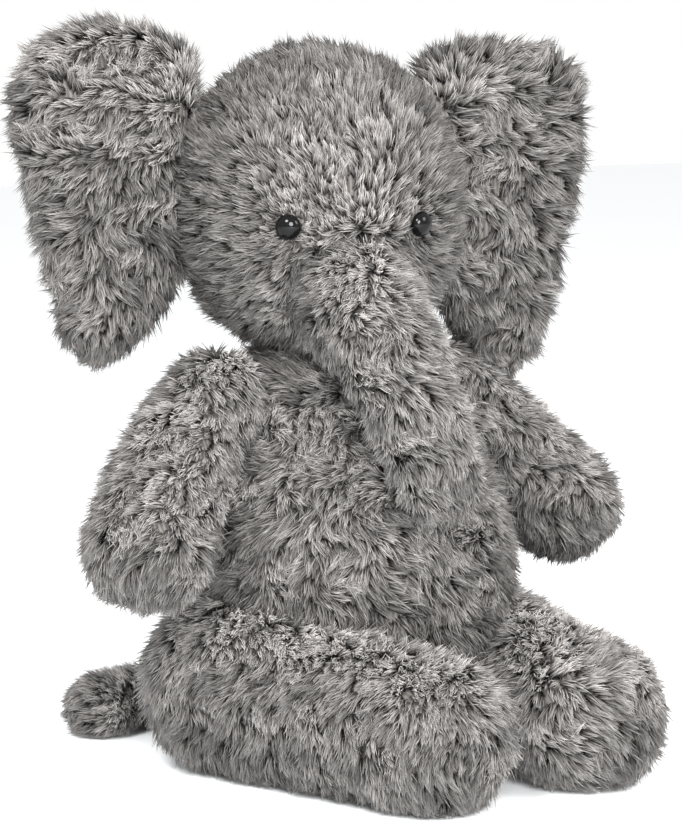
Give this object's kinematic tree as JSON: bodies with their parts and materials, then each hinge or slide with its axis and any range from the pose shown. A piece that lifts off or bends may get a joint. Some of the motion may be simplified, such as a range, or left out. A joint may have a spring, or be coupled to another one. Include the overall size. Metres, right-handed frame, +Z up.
{
  "type": "stuffed elephant",
  "caption": "Seated long-pile plush elephant with big padded ears, a hanging trunk, domed eyes, soft arms and legs, and a stubby tail.",
  "frame": {"origin": "on the surface that it sits on, under the middle of the torso", "axes": "+Z up, the torso and the feet face -Y, and +X is the elephant's own left"},
  "size_m": [0.2502, 0.2336, 0.293],
  "materials": {
    "pile_fabric": "matte",
    "filling": "matte",
    "pouch": "matte",
    "label": "satin",
    "eye": "gloss",
    "washer": "satin"
  },
  "bodies": {
    "torso": {"belly_panel": "pile_fabric", "back_left_panel": "pile_fabric", "back_right_panel": "pile_fabric", "base_panel": "pile_fabric", "torso_stuffing": "filling", "bean_pouch": "pouch", "care_label": "label"},
    "head": {"head_left_panel": "pile_fabric", "head_right_panel": "pile_fabric", "head_gusset": "pile_fabric", "head_stuffing": "filling", "eye_left": "eye", "eye_right": "eye", "eye_left_washer": "washer", "eye_right_washer": "washer"},
    "trunk": {"trunk_top_panel": "pile_fabric", "trunk_under_panel": "pile_fabric", "trunk_tip_panel": "pile_fabric", "trunk_stuffing": "filling"},
    "ear_left": {"ear_left_front_panel": "pile_fabric", "ear_left_back_panel": "pile_fabric", "ear_left_padding": "filling"},
    "arm_left": {"arm_left_outer_panel": "pile_fabric", "arm_left_inner_panel": "pile_fabric", "arm_left_stuffing": "filling"},
    "leg_left": {"leg_left_outer_panel": "pile_fabric", "leg_left_inner_panel": "pile_fabric", "sole_left_panel": "pile_fabric", "leg_left_stuffing": "filling"},
    "ear_right": {"ear_right_front_panel": "pile_fabric", "ear_right_back_panel": "pile_fabric", "ear_right_padding": "filling"},
    "arm_right": {"arm_right_outer_panel": "pile_fabric", "arm_right_inner_panel": "pile_fabric", "arm_right_stuffing": "filling"},
    "leg_right": {"leg_right_outer_panel": "pile_fabric", "leg_right_inner_panel": "pile_fabric", "sole_right_panel": "pile_fabric", "leg_right_stuffing": "filling"},
    "tail": {"tail_upper_panel": "pile_fabric", "tail_under_panel": "pile_fabric", "tail_stuffing": "filling"}
  },
  "joints": [
    {"name": "head_turn", "type": "hinge", "parent": "torso", "child": "head", "pos_m": [-0.006, 0, 0.17], "axis": [0, 0, 1], "range_deg": [-15, 35], "stiffness_Nm_per_rad": 0.25},
    {"name": "trunk_lift", "type": "hinge", "parent": "head", "child": "trunk", "pos_m": [-0.01828, -0.04016, 0.187], "axis": [-0.9563, 0.2924, 0], "range_deg": [0, 35], "stiffness_Nm_per_rad": 0.25},
    {"name": "ear_left_flap", "type": "hinge", "parent": "head", "child": "ear_left", "pos_m": [0.05018, -0.00777, 0.225], "axis": [0, 0, 1], "range_deg": [-25, 20], "stiffness_Nm_per_rad": 0.25},
    {"name": "ear_right_flap", "type": "hinge", "parent": "head", "child": "ear_right", "pos_m": [-0.05692, 0.02498, 0.225], "axis": [0, 0, -1], "range_deg": [-25, 20], "stiffness_Nm_per_rad": 0.25},
    {"name": "arm_left_swing", "type": "hinge", "parent": "torso", "child": "arm_left", "pos_m": [0.054, 0, 0.147], "axis": [-1, 0, 0], "range_deg": [-25, 28], "stiffness_Nm_per_rad": 0.25},
    {"name": "arm_right_swing", "type": "hinge", "parent": "torso", "child": "arm_right", "pos_m": [-0.054, 0, 0.147], "axis": [-1, 0, 0], "range_deg": [-25, 28], "stiffness_Nm_per_rad": 0.25},
    {"name": "leg_left_splay", "type": "hinge", "parent": "torso", "child": "leg_left", "pos_m": [0.053, -0.012, 0.0345], "axis": [0, 0, 1], "range_deg": [0, 30], "stiffness_Nm_per_rad": 0.6},
    {"name": "leg_right_splay", "type": "hinge", "parent": "torso", "child": "leg_right", "pos_m": [-0.053, -0.012, 0.0345], "axis": [0, 0, -1], "range_deg": [0, 30], "stiffness_Nm_per_rad": 0.6},
    {"name": "tail_wag", "type": "hinge", "parent": "torso", "child": "tail", "pos_m": [0, 0.056, 0.017], "axis": [0, 0, 1], "range_deg": [-35, 25], "stiffness_Nm_per_rad": 0.1}
  ]
}
